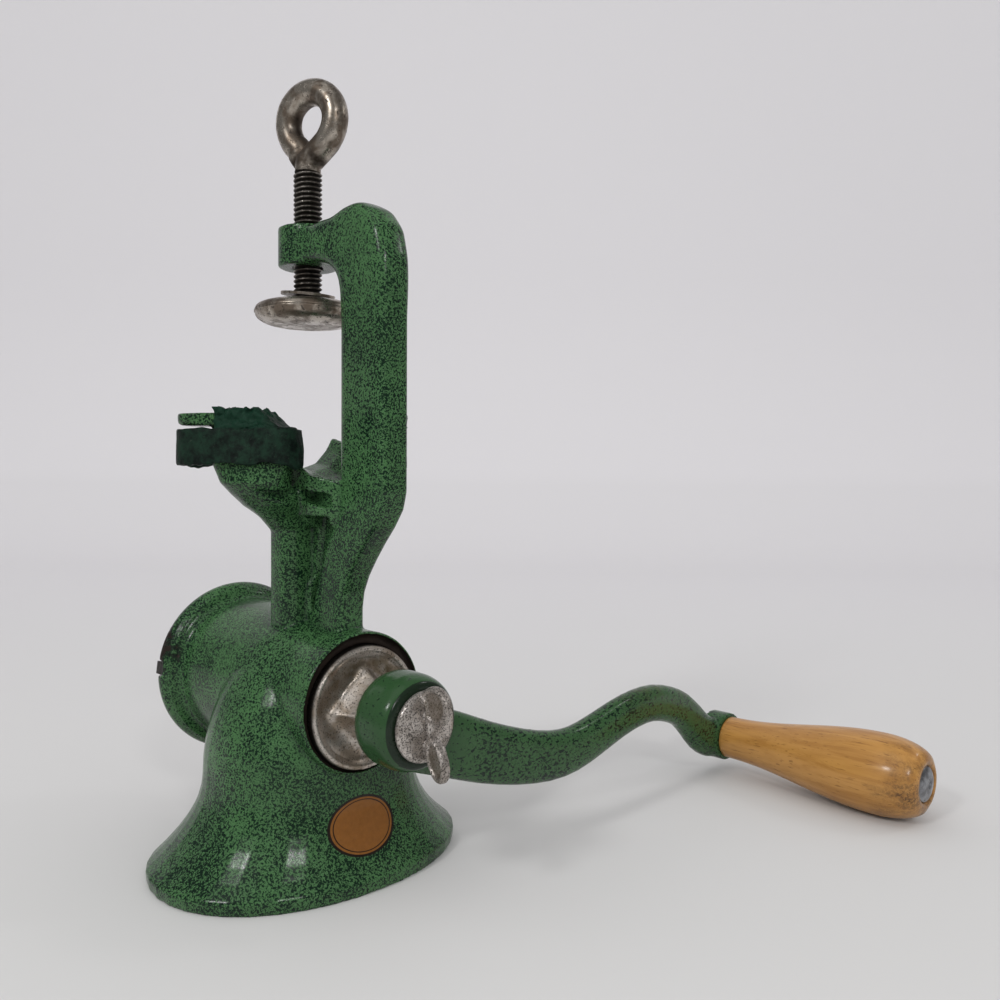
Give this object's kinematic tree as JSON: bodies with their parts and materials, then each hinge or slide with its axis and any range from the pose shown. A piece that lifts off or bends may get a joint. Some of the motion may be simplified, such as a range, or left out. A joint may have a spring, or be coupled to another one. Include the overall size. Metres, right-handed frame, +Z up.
{
  "type": "hand crank meat grinder",
  "caption": "Cast mincer with oval hopper, perforated outlet plate, feed screw, wavy crank with wooden handle, forked table rest and screw clamp; stood on its hopper mouth.",
  "frame": {"origin": "centre of the hopper mouth, on the surface that the mincer stands on upside down", "axes": "+Z up, from the hopper mouth to the clamp; +X along the barrel towards the crank; +Y the way the crank lies at rest"},
  "size_m": [0.2038, 0.2454, 0.2592],
  "materials": {
    "enamel": "gloss speckled vitreous enamel",
    "tinned_iron": "worn tinned cast iron",
    "steel": "dull steel",
    "nickelled_steel": "tarnished nickel plate",
    "beech": "varnished beech",
    "rubber": "perished dark rubber"
  },
  "bodies": {
    "mincer": {"casting": "enamel", "mincing_plate": "steel", "near_pad": "rubber", "far_pad": "rubber"},
    "crank": {"feed_screw": "tinned_iron", "cutter": "steel", "crank_arm": "enamel", "handle_spindle": "steel"},
    "handle": {"wood_handle": "beech"},
    "thumb_screw": {"thumb_screw": "tinned_iron"},
    "plate_nut": {"plate_nut": "tinned_iron"},
    "cap": {"cap_shell": "nickelled_steel", "cap_dish": "nickelled_steel", "cap_washer": "nickelled_steel"},
    "clamp_screw": {"clamp_screw": "nickelled_steel"}
  },
  "joints": [
    {"name": "crank_turn", "type": "hinge", "parent": "mincer", "child": "crank", "pos_m": [0, 0, 0.0553], "axis": [1, 0, 0], "continuous": true},
    {"name": "handle_turn", "type": "hinge", "parent": "crank", "child": "handle", "pos_m": [0.0546, 0.17647, 0.01553], "axis": [1, 0, 0], "continuous": true},
    {"name": "thumb_turn", "type": "hinge", "parent": "crank", "child": "thumb_screw", "pos_m": [0.061, 0, 0.0553], "axis": [1, 0, 0], "continuous": true},
    {"name": "plate_nut_turn", "type": "hinge", "parent": "crank", "child": "plate_nut", "pos_m": [-0.056, 0, 0.0553], "axis": [1, 0, 0], "continuous": true},
    {"name": "clamp_travel", "type": "slide", "parent": "mincer", "child": "cap", "axis": [0, 0, 1], "range_m": [-0.018, 0.006]},
    {"name": "clamp_turn", "type": "hinge", "parent": "cap", "child": "clamp_screw", "pos_m": [-0.0005, 0, 0.2], "axis": [0, 0, 1], "range_deg": [-4090, 1370]}
  ],
  "couplings": [
    {"joint": "clamp_turn", "follows": "clamp_travel", "rad_per_m": 3957.9}
  ]
}
